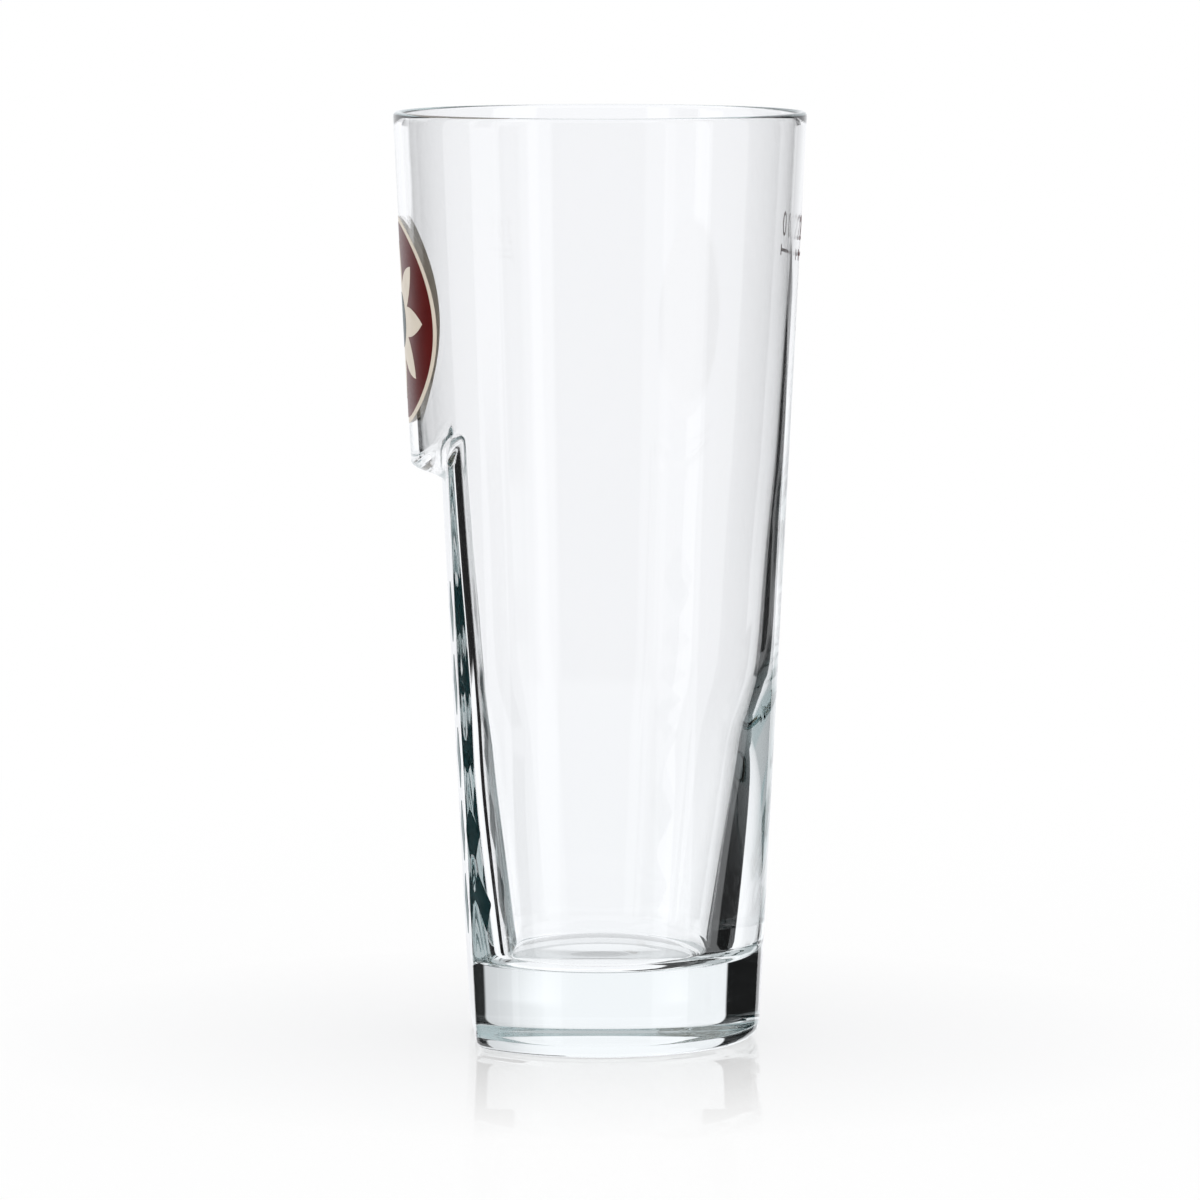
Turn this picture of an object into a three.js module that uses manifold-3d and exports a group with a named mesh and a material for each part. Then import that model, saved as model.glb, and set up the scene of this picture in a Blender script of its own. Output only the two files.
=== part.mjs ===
import * as THREE from 'three';
import { mergeVertices } from 'three/addons/utils/BufferGeometryUtils.js';
import Module from 'manifold-3d';

// Heavy-based tumbler with a flat panel moulded into one side, in millimetres.
// It stands on z = 0 with its axis on +Z, and the panel faces -X.
const HEIGHT = 142;
const RIM_RADIUS = 31.5;
const FOOT_RADIUS = 24.4; // of the outer cone carried down to the table

// Underside: a rounded edge, a flat ring to stand on and a shallow hollow inside it
const FOOT_CORNER = 2.75;
const STANDING_RING = 4.6;
const PUNT_DEPTH = 1.5;

// Cavity: a solid base, and a wall that thins out from the floor to the rim
const BASE_THICKNESS = 12.4;
const FLOOR_CORNER = 2.5;
const FLOOR_WALL = 8.05;
const HEEL_HEIGHT = 40;
const HEEL_WALL = 5.2;
const SHOULDER_HEIGHT = 56;
const SHOULDER_WALL = 2.8;
const NECK_RISE = 38; // above the shoulder, where the wall is nearly as thin as at the rim
const NECK_WALL = 1.7;
const RIM_WALL = 1.3;

// Moulded panel: a ledge that runs round under the badge, then a flat face parallel to the wall
const LEDGE_DROP = 54; // of its lowest point below the rim
const LEDGE_FALL = 1.7; // away from the badge, from its outer edge to the panel
const LEDGE_EDGE = 0.9;
const LEDGE_FILLET = 1.4;
const LEDGE_WALL = 1.4;
const PANEL_INSET = 4.95;
const PANEL_TOP_WALL = 1.7;
const PANEL_HEEL_WALL = 3.6;
const PANEL_FOOT_WALL = 5.9;
const PANEL_FOOT_EDGE = 1.3;
const INNER_LEDGE_ROUND = 3;
const INNER_HEEL_ROUND = 12;

// Fired enamel prints, in layers
const PRINT_THICKNESS = 0.12;
const PRINT_GAP = 0.05;

const BADGE_LIFT = 6.65; // of its lower edge above the ledge
const BADGE_RADIUS = 15.75;
const BADGE_EDGE = 0.85;
const ROSETTE_PETALS = 8;
const ROSETTE_RADIUS = 12;
const ROSETTE_WAIST = 6;
const PETAL_FULLNESS = 0.75;
const BADGE_CENTRE_RADIUS = 4.2;

const LOZENGE_COUNT = 5;
const LOZENGE_WIDTH = 14;
const LOZENGE_GAP = 1.5;
const LOZENGE_TOP_MARGIN = 15;
const LOZENGE_FOOT_MARGIN = 15;

const FILL_LINE_DROP = 21.6;
const FILL_LINE_LENGTH = 12.5;
const FILL_LINE_STROKE = 0.5;
const FILL_LINE_TICK = 1.7;
const NUMERAL_HEIGHT = 3.8;
const NUMERAL_WIDTH = 2.3;
const NUMERAL_STROKE = 0.42;
const NUMERAL_GAP = 0.8;
const NUMERAL_LIFT = 2.2; // of the figures above the line

const ROUND_SEGMENTS = 72;
const CURVE_STEPS = 6;
const WALL_STEPS = 18;

const ledgeHeight = HEIGHT - LEDGE_DROP;
const ledgeRadius = BADGE_LIFT + BADGE_RADIUS; // about the badge's axis
const badgeHeight = ledgeHeight + ledgeRadius;
const panelAzimuth = Math.PI;
const fillMarkAzimuth = 0; // opposite the panel
const reach = 2 * RIM_RADIUS; // of a cutter, well past the glass
const weld = RIM_WALL / 3; // of the panel's inner face into the wall
const taper = (RIM_RADIUS - FOOT_RADIUS) / HEIGHT;
const lean = Math.atan(taper);
const runOut = 0.25; // share of a rounding that is carried on past the face where it ends

const coneRadius = (z) => FOOT_RADIUS + taper * z;
const panelDistance = (z) => coneRadius(z) - PANEL_INSET;

const wasm = await Module();
wasm.setup();

function toSolid(geometry) {
  const bare = new THREE.BufferGeometry();
  bare.setAttribute('position', geometry.getAttribute('position').clone());
  bare.setIndex(geometry.getIndex());
  const merged = mergeVertices(bare, 1e-4);
  return new wasm.Manifold(new wasm.Mesh({
    numProp: 3,
    vertProperties: new Float32Array(merged.getAttribute('position').array),
    triVerts: new Uint32Array(merged.getIndex().array),
  }));
}

function toGeometry(solid) {
  const { vertProperties, triVerts } = solid.getMesh();
  const geometry = new THREE.BufferGeometry();
  geometry.setAttribute('position', new THREE.BufferAttribute(vertProperties, 3));
  geometry.setIndex(new THREE.BufferAttribute(triVerts, 1));
  geometry.computeVertexNormals();
  return geometry;
}

// A closed profile of radius and height, turned round +Z and then put in its place
function revolve(profile, place = new THREE.Matrix4()) {
  const lathe = new THREE.LatheGeometry(profile, ROUND_SEGMENTS);
  return toSolid(lathe.rotateX(Math.PI / 2).applyMatrix4(place));
}

// An outline in x and z, run straight along y through the whole glass
function prismAlongY(outline) {
  const options = { depth: 2 * reach, bevelEnabled: false, curveSegments: CURVE_STEPS };
  const prism = new THREE.ExtrudeGeometry(outline, options);
  return toSolid(prism.rotateX(Math.PI / 2).translate(0, reach, 0));
}

// Straight sides between corners of x, z and the length that is rounded off each side there,
// at most half of the side
function roundedOutline(corners) {
  const shape = new THREE.Shape();
  corners.forEach(([x, z, round = 0], index) => {
    const corner = new THREE.Vector2(x, z);
    const cutBack = ([nextX, nextZ]) => {
      const side = new THREE.Vector2(nextX, nextZ).sub(corner);
      return side.setLength(Math.min(round, side.length() / 2)).add(corner);
    };
    const start = cutBack(corners.at(index - 1));
    const end = cutBack(corners[(index + 1) % corners.length]);
    if (index === 0) shape.moveTo(start.x, start.y);
    else shape.lineTo(start.x, start.y);
    if (round) shape.quadraticCurveTo(corner.x, corner.y, end.x, end.y);
  });
  return shape;
}

// Side of the cavity through the stations of height and wall thickness, from the floor up
function cavitySide() {
  const stations = [
    [BASE_THICKNESS + FLOOR_CORNER, FLOOR_WALL],
    [HEEL_HEIGHT, HEEL_WALL],
    [SHOULDER_HEIGHT, SHOULDER_WALL],
    [SHOULDER_HEIGHT + NECK_RISE, NECK_WALL],
    [HEIGHT - RIM_WALL / 2, RIM_WALL],
  ];
  const points = stations.map(([z, wall]) => new THREE.Vector3(coneRadius(z) - wall, z, 0));
  const curve = new THREE.CatmullRomCurve3(points, false, 'centripetal');
  return curve.getPoints(WALL_STEPS).map((point) => new THREE.Vector2(point.x, point.y));
}

function shellProfile(side) {
  const path = new THREE.Path();
  const standingRadius = coneRadius(0) - FOOT_CORNER;
  const puntRadius = standingRadius - STANDING_RING;
  const puntCurve = (puntRadius ** 2 + PUNT_DEPTH ** 2) / (2 * PUNT_DEPTH);
  const puntEdge = Math.PI / 2 - Math.asin(puntRadius / puntCurve);
  path.absarc(0, PUNT_DEPTH - puntCurve, puntCurve, Math.PI / 2, puntEdge, true);
  path.lineTo(standingRadius, 0);
  path.quadraticCurveTo(coneRadius(0), 0, coneRadius(FOOT_CORNER), FOOT_CORNER);
  const rimStart = HEIGHT - RIM_WALL / 2;
  path.lineTo(coneRadius(rimStart), rimStart);
  path.absarc(coneRadius(rimStart) - RIM_WALL / 2, rimStart, RIM_WALL / 2, 0, Math.PI, false);
  const inside = [...side].reverse();
  const floorEdge = side[0];
  inside.slice(1).forEach((point) => path.lineTo(point.x, point.y));
  path.quadraticCurveTo(floorEdge.x, BASE_THICKNESS, floorEdge.x - FLOOR_CORNER, BASE_THICKNESS);
  path.lineTo(0, BASE_THICKNESS);
  return path.getPoints(CURVE_STEPS);
}

// The cavity grown by the weld, which bounds the panel's inner face
function weldProfile(side) {
  const floor = BASE_THICKNESS - weld;
  const grown = side.map((point) => new THREE.Vector2(point.x + weld, point.y));
  const top = grown.at(-1);
  return [
    new THREE.Vector2(0, floor),
    new THREE.Vector2(grown[0].x - FLOOR_CORNER, floor),
    ...grown,
    new THREE.Vector2(0, top.y),
  ];
}

// What the panel takes away outside, up to the badge: the rounding at the foot runs out below the table
function recessOutline() {
  const footEnd = 2 * PANEL_FOOT_EDGE - panelDistance(0);
  return roundedOutline([
    [-reach, badgeHeight],
    [-reach, -2 * PANEL_FOOT_EDGE],
    [footEnd, -2 * PANEL_FOOT_EDGE],
    [footEnd, -runOut * PANEL_FOOT_EDGE],
    [-panelDistance(0), 0, PANEL_FOOT_EDGE],
    [-panelDistance(badgeHeight), badgeHeight],
  ]);
}

// What the panel adds inside, up to the badge
function innerPanelOutline() {
  const floor = BASE_THICKNESS - 2 * weld;
  const face = (z, wall) => wall - panelDistance(z);
  return roundedOutline([
    [-reach, badgeHeight],
    [-reach, floor],
    [face(floor, PANEL_FOOT_WALL), floor],
    [face(HEEL_HEIGHT, PANEL_HEEL_WALL), HEEL_HEIGHT, INNER_HEEL_ROUND],
    [face(ledgeHeight, PANEL_TOP_WALL), ledgeHeight],
    [face(badgeHeight, PANEL_TOP_WALL), badgeHeight],
  ]);
}

// The round field under the badge that the panel leaves alone, turned about the badge's axis:
// it widens from the edge at the wall to the foot at a depth, and its rounding runs out below that
function badgeField(edge, foot, depth, edgeRound, footRound) {
  const profile = roundedOutline([
    [0, -2 * depth],
    [foot + 2 * footRound, -2 * depth],
    [foot + 2 * footRound, -depth - runOut * footRound],
    [foot, -depth, footRound],
    [edge, 0, edgeRound],
    [edge - 2 * edgeRound, runOut * LEDGE_EDGE],
    [0, runOut * LEDGE_EDGE],
  ]);
  const place = new THREE.Matrix4().makeRotationY(-lean).multiply(facing(panelAzimuth));
  place.setPosition(-coneRadius(badgeHeight), 0, badgeHeight);
  return revolve(profile.getPoints(CURVE_STEPS), place);
}

function glassBody() {
  const side = cavitySide();
  const shell = revolve(shellProfile(side));
  const depth = PANEL_INSET * Math.cos(lean);
  const ledgeFoot = ledgeRadius + LEDGE_FALL;
  const field = badgeField(ledgeRadius, ledgeFoot, depth, LEDGE_EDGE, LEDGE_FILLET);
  const innerField = badgeField(
    ledgeRadius - LEDGE_WALL, ledgeFoot - LEDGE_WALL, depth + PANEL_TOP_WALL, 0, INNER_LEDGE_ROUND,
  );
  const cavity = revolve(weldProfile(side));
  const innerPanel = cavity.intersect(prismAlongY(innerPanelOutline())).subtract(innerField);
  const recess = prismAlongY(recessOutline()).subtract(field);
  return toGeometry(shell.add(innerPanel).subtract(recess));
}

// Turns an outline upright, to face outwards at an azimuth
function facing(azimuth) {
  const outward = new THREE.Vector3(Math.cos(azimuth), Math.sin(azimuth), 0);
  const up = new THREE.Vector3(0, 0, 1);
  const across = new THREE.Vector3().crossVectors(up, outward);
  return new THREE.Matrix4().makeBasis(across, up, outward);
}

// An outline wrapped on the cone at a height and azimuth, in its layer of print
function printOnCone(outline, height, azimuth, layer) {
  const inner = PRINT_GAP + layer * (PRINT_THICKNESS + PRINT_GAP);
  const outer = inner + PRINT_THICKNESS;
  const low = height - BADGE_RADIUS - BADGE_EDGE;
  const high = height + BADGE_RADIUS + BADGE_EDGE;
  const band = revolve([
    new THREE.Vector2(coneRadius(low) + inner, low),
    new THREE.Vector2(coneRadius(low) + outer, low),
    new THREE.Vector2(coneRadius(high) + outer, high),
    new THREE.Vector2(coneRadius(high) + inner, high),
    new THREE.Vector2(coneRadius(low) + inner, low),
  ]);
  const options = { depth: reach, bevelEnabled: false, curveSegments: 2 * CURVE_STEPS };
  const prism = new THREE.ExtrudeGeometry(outline, options);
  const place = facing(azimuth).setPosition(0, 0, height);
  return toGeometry(band.intersect(toSolid(prism.applyMatrix4(place))));
}

function disc(radius) {
  const shape = new THREE.Shape();
  shape.absarc(0, 0, radius, 0, 2 * Math.PI, false);
  return shape;
}

function rosette() {
  const shape = new THREE.Shape();
  const step = Math.PI / ROSETTE_PETALS;
  for (let index = 0; index < ROSETTE_PETALS; index += 1) {
    const angle = 2 * step * index;
    const at = (radius, turn) => [radius * Math.cos(turn), radius * Math.sin(turn)];
    if (index === 0) shape.moveTo(...at(ROSETTE_WAIST, angle - step));
    const swell = (ROSETTE_RADIUS + ROSETTE_WAIST) / 2;
    const spread = PETAL_FULLNESS * step;
    shape.quadraticCurveTo(...at(swell, angle - spread), ...at(ROSETTE_RADIUS, angle));
    shape.quadraticCurveTo(...at(swell, angle + spread), ...at(ROSETTE_WAIST, angle + step));
  }
  return shape;
}

function lozenge(width, length) {
  const shape = new THREE.Shape();
  shape.moveTo(0, -length / 2);
  shape.lineTo(width / 2, 0);
  shape.lineTo(0, length / 2);
  shape.lineTo(-width / 2, 0);
  return shape;
}

function fillLine() {
  const half = FILL_LINE_LENGTH / 2;
  const bar = FILL_LINE_STROKE / 2;
  const tick = FILL_LINE_TICK / 2;
  const shape = new THREE.Shape();
  shape.moveTo(-half, -tick);
  shape.lineTo(-half + 2 * bar, -tick);
  shape.lineTo(-half + 2 * bar, -bar);
  shape.lineTo(half - 2 * bar, -bar);
  shape.lineTo(half - 2 * bar, -tick);
  shape.lineTo(half, -tick);
  shape.lineTo(half, tick);
  shape.lineTo(half - 2 * bar, tick);
  shape.lineTo(half - 2 * bar, bar);
  shape.lineTo(-half + 2 * bar, bar);
  shape.lineTo(-half + 2 * bar, tick);
  shape.lineTo(-half, tick);
  return shape;
}

function numeralZero() {
  const shape = new THREE.Shape();
  shape.absellipse(0, 0, NUMERAL_WIDTH / 2, NUMERAL_HEIGHT / 2, 0, 2 * Math.PI, false, 0);
  const hole = new THREE.Path();
  const innerWidth = NUMERAL_WIDTH / 2 - NUMERAL_STROKE;
  hole.absellipse(0, 0, innerWidth, NUMERAL_HEIGHT / 2 - NUMERAL_STROKE, 0, 2 * Math.PI, true, 0);
  shape.holes.push(hole);
  return shape;
}

function numeralTwo() {
  const bowl = NUMERAL_WIDTH / 2;
  const base = -NUMERAL_HEIGHT / 2;
  const bowlHeight = NUMERAL_HEIGHT / 2 - bowl;
  const start = THREE.MathUtils.degToRad(165);
  const end = THREE.MathUtils.degToRad(-40);
  const shape = new THREE.Shape();
  shape.absarc(0, bowlHeight, bowl, start, end, true);
  shape.lineTo(2 * NUMERAL_STROKE - bowl, base + NUMERAL_STROKE);
  shape.lineTo(bowl, base + NUMERAL_STROKE);
  shape.lineTo(bowl, base);
  shape.lineTo(-bowl, base);
  shape.lineTo(-bowl, base + NUMERAL_STROKE);
  shape.absarc(0, bowlHeight, bowl - NUMERAL_STROKE, end, start, false);
  return shape;
}

const glass = new THREE.MeshStandardMaterial({
  color: 0xdfe9e8, roughness: 0.03, metalness: 0, transparent: true, opacity: 0.35,
});
const cream = new THREE.MeshStandardMaterial({ color: 0xd7cdbe, roughness: 0.35, metalness: 0 });
const oxblood = new THREE.MeshStandardMaterial({ color: 0x7a1010, roughness: 0.3, metalness: 0 });
const teal = new THREE.MeshStandardMaterial({ color: 0x0b4750, roughness: 0.3, metalness: 0 });
const russet = new THREE.MeshStandardMaterial({ color: 0x5a2a26, roughness: 0.4, metalness: 0 });

function named(name, geometry, material) {
  const mesh = new THREE.Mesh(geometry, material.clone());
  mesh.name = name;
  return mesh;
}

function badge() {
  const group = new THREE.Group();
  const patches = [
    ['badge_ground', disc(BADGE_RADIUS), cream],
    ['badge_field', disc(BADGE_RADIUS - BADGE_EDGE), oxblood],
    ['badge_rosette', rosette(), cream],
    ['badge_centre', disc(BADGE_CENTRE_RADIUS), teal],
  ];
  patches.forEach(([name, outline, material], layer) => {
    group.add(named(name, printOnCone(outline, badgeHeight, panelAzimuth, layer), material));
  });
  return group;
}

// Lozenges in a column on the panel, in a frame that leans with it
function panelPrint() {
  const group = new THREE.Group();
  group.position.set(-panelDistance(0), 0, 0);
  group.rotation.set(0, -lean, 0);
  const low = LOZENGE_FOOT_MARGIN / Math.cos(lean);
  const high = (ledgeHeight - LEDGE_FALL - LOZENGE_TOP_MARGIN) / Math.cos(lean);
  const pitch = (high - low) / LOZENGE_COUNT;
  const outline = lozenge(LOZENGE_WIDTH, pitch - LOZENGE_GAP);
  const patch = new THREE.ExtrudeGeometry(outline, { depth: PRINT_THICKNESS, bevelEnabled: false });
  for (let index = 0; index < LOZENGE_COUNT; index += 1) {
    const mesh = named(`panel_lozenge_${index + 1}`, patch.clone(), teal);
    mesh.quaternion.setFromRotationMatrix(facing(panelAzimuth));
    mesh.position.set(-PRINT_GAP, 0, high - pitch * (index + 0.5));
    group.add(mesh);
  }
  return group;
}

function fillMark() {
  const group = new THREE.Group();
  const lineHeight = HEIGHT - FILL_LINE_DROP;
  group.add(named('fill_line', printOnCone(fillLine(), lineHeight, fillMarkAzimuth, 0), russet));
  const figureHeight = lineHeight + NUMERAL_LIFT + NUMERAL_HEIGHT / 2;
  const step = (NUMERAL_WIDTH + NUMERAL_GAP) / coneRadius(figureHeight);
  const figures = [numeralTwo(), numeralZero(), numeralZero()];
  figures.forEach((outline, index) => {
    const turn = fillMarkAzimuth + step * (index - (figures.length - 1) / 2);
    group.add(named(`fill_numeral_${index + 1}`, printOnCone(outline, figureHeight, turn, 0), russet));
  });
  return group;
}

const tumbler = new THREE.Group();
tumbler.add(named('glass_body', glassBody(), glass), badge(), panelPrint(), fillMark());

export default tumbler;
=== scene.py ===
import bmesh
import bpy
import math
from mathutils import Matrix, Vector


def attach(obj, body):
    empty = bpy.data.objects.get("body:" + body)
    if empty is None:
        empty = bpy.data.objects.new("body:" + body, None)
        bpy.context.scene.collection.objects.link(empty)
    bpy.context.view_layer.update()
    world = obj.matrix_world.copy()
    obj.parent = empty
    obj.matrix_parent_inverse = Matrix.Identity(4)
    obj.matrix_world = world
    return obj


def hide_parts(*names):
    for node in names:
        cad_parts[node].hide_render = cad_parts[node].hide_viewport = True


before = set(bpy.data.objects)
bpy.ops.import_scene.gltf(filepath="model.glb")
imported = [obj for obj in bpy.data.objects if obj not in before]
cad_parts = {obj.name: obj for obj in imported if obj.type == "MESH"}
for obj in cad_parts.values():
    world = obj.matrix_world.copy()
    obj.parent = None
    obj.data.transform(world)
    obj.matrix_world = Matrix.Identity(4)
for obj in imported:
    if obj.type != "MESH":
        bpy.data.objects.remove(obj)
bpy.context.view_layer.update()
scene = bpy.context.scene
scene.view_settings.view_transform = "Standard"
lightBounces = 64  # light runs far inside the wall
scene.cycles.max_bounces = lightBounces
scene.cycles.glossy_bounces = lightBounces
scene.cycles.transmission_bounces = lightBounces
mm = 0.001
print("frame loaded:", len(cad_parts), "nodes")


# small helpers for modelling by hand
def objectMode():
    if bpy.context.object and bpy.context.object.mode != "OBJECT":
        bpy.ops.object.mode_set(mode="OBJECT")


def clearAll():
    objectMode()
    bpy.ops.object.select_all(action="DESELECT")


def editVerts():
    bpy.ops.object.mode_set(mode="EDIT")
    bpy.ops.mesh.select_mode(type="VERT")


def pickVerts(piece, test):
    mesh = bmesh.from_edit_mesh(piece.data)
    for face in mesh.faces:
        face.select = False
    for edge in mesh.edges:
        edge.select = False
    for vert in mesh.verts:
        vert.select = test(vert.co)
    mesh.select_flush(True)
    bmesh.update_edit_mesh(piece.data)


def pickFaces(piece, test):
    bpy.ops.mesh.select_mode(type="FACE")
    mesh = bmesh.from_edit_mesh(piece.data)
    for face in mesh.faces:
        face.select_set(test(face.calc_center_median()))
    bmesh.update_edit_mesh(piece.data)


def applyModifiers(piece):
    bpy.context.view_layer.objects.active = piece
    for modifier in list(piece.modifiers):
        bpy.ops.object.modifier_apply(modifier=modifier.name)


def applyPlace(piece):
    objectMode()
    piece.select_set(True)
    bpy.context.view_layer.objects.active = piece
    bpy.ops.object.transform_apply(location=True, rotation=True, scale=True)


def smoothMin(a, b, soft):
    overlap = max(soft - abs(a - b), 0.0)
    return min(a, b) - overlap * overlap / (4 * soft)


def smoothMax(a, b, soft):
    return -smoothMin(-a, -b, soft)


def smoothStep(low, high, value):
    t = min(max((value - low) / (high - low), 0.0), 1.0)
    return t * t * (3 - 2 * t)


# a natural cubic through stations of height and value
def splineThrough(stations):
    count = len(stations)
    heights = [s[0] for s in stations]
    values = [s[1] for s in stations]
    gaps = [heights[i + 1] - heights[i] for i in range(count - 1)]
    bend = [0.0] * count
    lower = [0.0] * count
    upper = [0.0] * count
    for i in range(1, count - 1):
        slope = (values[i + 1] - values[i]) / gaps[i] - (values[i] - values[i - 1]) / gaps[i - 1]
        pivot = 2 * (gaps[i - 1] + gaps[i]) - gaps[i - 1] * lower[i - 1]
        lower[i] = gaps[i] / pivot
        upper[i] = (6 * slope - gaps[i - 1] * upper[i - 1]) / pivot
    for i in range(count - 2, 0, -1):
        bend[i] = upper[i] - lower[i] * bend[i + 1]

    def valueAt(z):
        z = min(max(z, heights[0]), heights[-1])
        i = 0
        while i < count - 2 and z > heights[i + 1]:
            i += 1
        a = (heights[i + 1] - z) / gaps[i]
        b = 1 - a
        cubic = ((a ** 3 - a) * bend[i] + (b ** 3 - b) * bend[i + 1]) * gaps[i] ** 2 / 6
        return a * values[i] + b * values[i + 1] + cubic

    return valueAt


# glass body, in millimetres and degrees
tumbler = {
    "columns": 320,
    "footSteps": 9,
    "rimSteps": 12,
    "cornerSteps": 12,
    "height": 142.0,
    "rimRadius": 31.5,
    "footRadius": 24.4,
    "footCorner": 2.75,
    "standingRing": 4.6,
    "standingRows": (1.2, 2.6),  # in from the foot's corner
    "puntEdge": [(0.9, 0.0), (0.3, 0.005)],  # out from the hollow's edge, and height
    "puntDepth": 1.5,
    "puntRows": (0.4, 1.2, 2.4),  # in from the hollow's edge
    "puntRadii": (12.5, 10, 7.5, 5, 2.5, 0.8),
    "floor": 12.4,
    "floorCorner": 3.1,
    "floorRadii": (12.6, 11, 8, 5, 2.5, 0.8),
    # heights of the rows, close together by the ledge
    "outerRows": [5, 8, 11, *range(15, 80, 4), 82, 83.4, 84.4, 85.1, 85.6, 86.0, 86.3, 86.6, 86.9,
                  87.15, 87.4, 87.65, 87.9, 88.15, 88.4, 88.7, 89.0, 89.4, 90, 90.8, 92, 94,
                  *range(97, 138, 4), 140],
    "innerRows": [140, *range(137, 96, -4), 94, 92.5, 91.3, 90.4, 89.7, 89.1, 88.6, 88.2, 87.8, 87.4,
                  87.0, 86.6, 86.2, 85.7, 85.1, 84.3, 83.2, 81.6, 79.6, 77, *range(74, 19, -3), 17.4, 16],
    "rimWall": 1.3,
    "wall": [(14.9, 8.05), (40, 5.25), (47, 4.2), (51.5, 3.38), (55.5, 2.87), (61, 2.6), (70, 2.42),
             (78, 2.18), (86, 1.88), (94, 1.7), (107, 1.5), (121, 1.36), (141.4, 1.3)],
    "badgeHeight": 110.4,
    "ledgeRadius": 22.4,  # about the badge's axis
    "ledgeFall": 1.7,
    "ledgeWall": 1.4,
    "panelInset": 4.95,
    "panelWall": [(12.0, 5.95), (26, 4.75), (40, 3.6), (64, 2.55), (88, 1.75), (112, 1.7)],
    "panelFootRound": 1.5,
    "panelFootDepth": 0.75,  # of that rounding, as a share
    "panelClear": 20,  # puts the panel out of reach above the badge
    "creaseSoft": 0.7,
    "ledgeSoft": 2.2,
    "filletSoft": 2.4,
    "innerSoft": 2.2,
    "innerFilletSoft": 4.0,
    "ledgeBlend": 1,
    # rows near the ledge slide up to follow its arc: from which height, and how far
    "slideFrom": 12,
    "slideReach": 17.0,
    "slideStart": (48, 84),
    "slideEnd": (92, 136),
    "slideTurn": (42, 105),
    "ringGrid": 20,  # cells in a millimetre, for finding a row again
}

taper = (tumbler["rimRadius"] - tumbler["footRadius"]) / tumbler["height"]
wallAt = splineThrough(tumbler["wall"])
panelWallAt = splineThrough(tumbler["panelWall"])


def coneRadius(z):
    return tumbler["footRadius"] + taper * z


def cavityRadius(z):
    return coneRadius(z) - wallAt(z)


def panelDistance(z):
    return coneRadius(z) - tumbler["panelInset"]


# rows of the turned form: kind, radius and height, from the standing ring up, over the rim and down inside
def turnedRows():
    t = tumbler
    rows = []
    standing = t["footRadius"] - t["footCorner"]
    for step in range(1, t["footSteps"] + 1):  # rounded edge of the foot
        a = step / t["footSteps"]
        low, high = (1 - a) ** 2, a ** 2
        radius = standing * low + 2 * a * (1 - a) * t["footRadius"] + high * coneRadius(t["footCorner"])
        rows.append(("outer", radius, high * t["footCorner"]))
    rows += [("outer", coneRadius(z), z) for z in t["outerRows"]]
    half = t["rimWall"] / 2
    rimZ = t["height"] - half
    rimMiddle = coneRadius(rimZ) - half
    for step in range(t["rimSteps"] + 1):  # fire-polished lip
        turn = math.pi * step / t["rimSteps"]
        rows.append(("rim", rimMiddle + half * math.cos(turn), rimZ + half * math.sin(turn)))
    rows += [("inner", cavityRadius(z), z) for z in t["innerRows"]]
    corner = t["floorCorner"]
    middle = t["floor"] + corner
    lean = math.atan(cavityRadius(middle + 1) - cavityRadius(middle))
    centre = cavityRadius(middle) - corner / math.cos(lean)
    for step in range(t["cornerSteps"] + 1):  # rounded corner of the cavity's floor
        turn = lean + (math.pi / 2 - lean) * step / t["cornerSteps"]
        rows.append(("floor", centre + corner * math.cos(turn), middle - corner * math.sin(turn)))
    rows += [("floor", radius, t["floor"]) for radius in t["floorRadii"]]
    return standing, rows


# rows under the foot, from the standing ring to the middle of the hollow
def undersideRows(standing):
    t = tumbler
    punt = standing - t["standingRing"]
    curve = (punt ** 2 + t["puntDepth"] ** 2) / (2 * t["puntDepth"])
    rows = [(standing - inset, 0.0) for inset in t["standingRows"]]
    rows += [(punt + outset, z) for outset, z in t["puntEdge"]]
    for radius in [punt - inset for inset in t["puntRows"]] + list(t["puntRadii"]):
        rows.append((radius, t["puntDepth"] - curve + math.sqrt(curve ** 2 - radius ** 2)))
    return rows


# next ring of the form, out of the selected one
def drawRing(radius, z, fromRadius, fromZ):
    rise = (0, 0, (z - fromZ) * mm)
    bpy.ops.mesh.extrude_region_move(TRANSFORM_OT_translate={"value": rise})
    grow = radius / fromRadius
    bpy.ops.transform.resize(value=(grow, grow, 1), center_override=(0, 0, z * mm))


# a row's new height, so that the rows run along the ledge
def slideRow(z, y, turn):
    t = tumbler
    reach = min(abs(y), t["slideReach"])
    rise = t["ledgeRadius"] - math.sqrt(t["ledgeRadius"] ** 2 - reach ** 2)
    near = smoothStep(*t["slideStart"], z) * (1 - smoothStep(*t["slideEnd"], z))
    return z + rise * near * (1 - smoothStep(*t["slideTurn"], turn))


# depth of the moulded panel under a place on the outer wall, as a distance from the axis
def outerPanel(y, z):
    t = tumbler
    fromBadge = math.hypot(y, t["badgeHeight"] - z)
    face = panelDistance(z)
    if z < t["panelFootRound"]:
        face -= t["panelFootRound"] * t["panelFootDepth"] * (1 - z / t["panelFootRound"]) ** 2
    field = coneRadius(z) + t["panelInset"] * (t["ledgeRadius"] - fromBadge) / t["ledgeFall"]
    if z > t["badgeHeight"]:
        field = coneRadius(z) + t["panelClear"]
    ledgeEnd = t["ledgeRadius"] + t["ledgeFall"] + t["ledgeBlend"]
    onLedge = 1 - smoothStep(t["ledgeRadius"], ledgeEnd, fromBadge)
    soft = t["creaseSoft"] + (t["ledgeSoft"] - t["creaseSoft"]) * onLedge
    return smoothMax(face, field, t["filletSoft"]), soft


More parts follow.
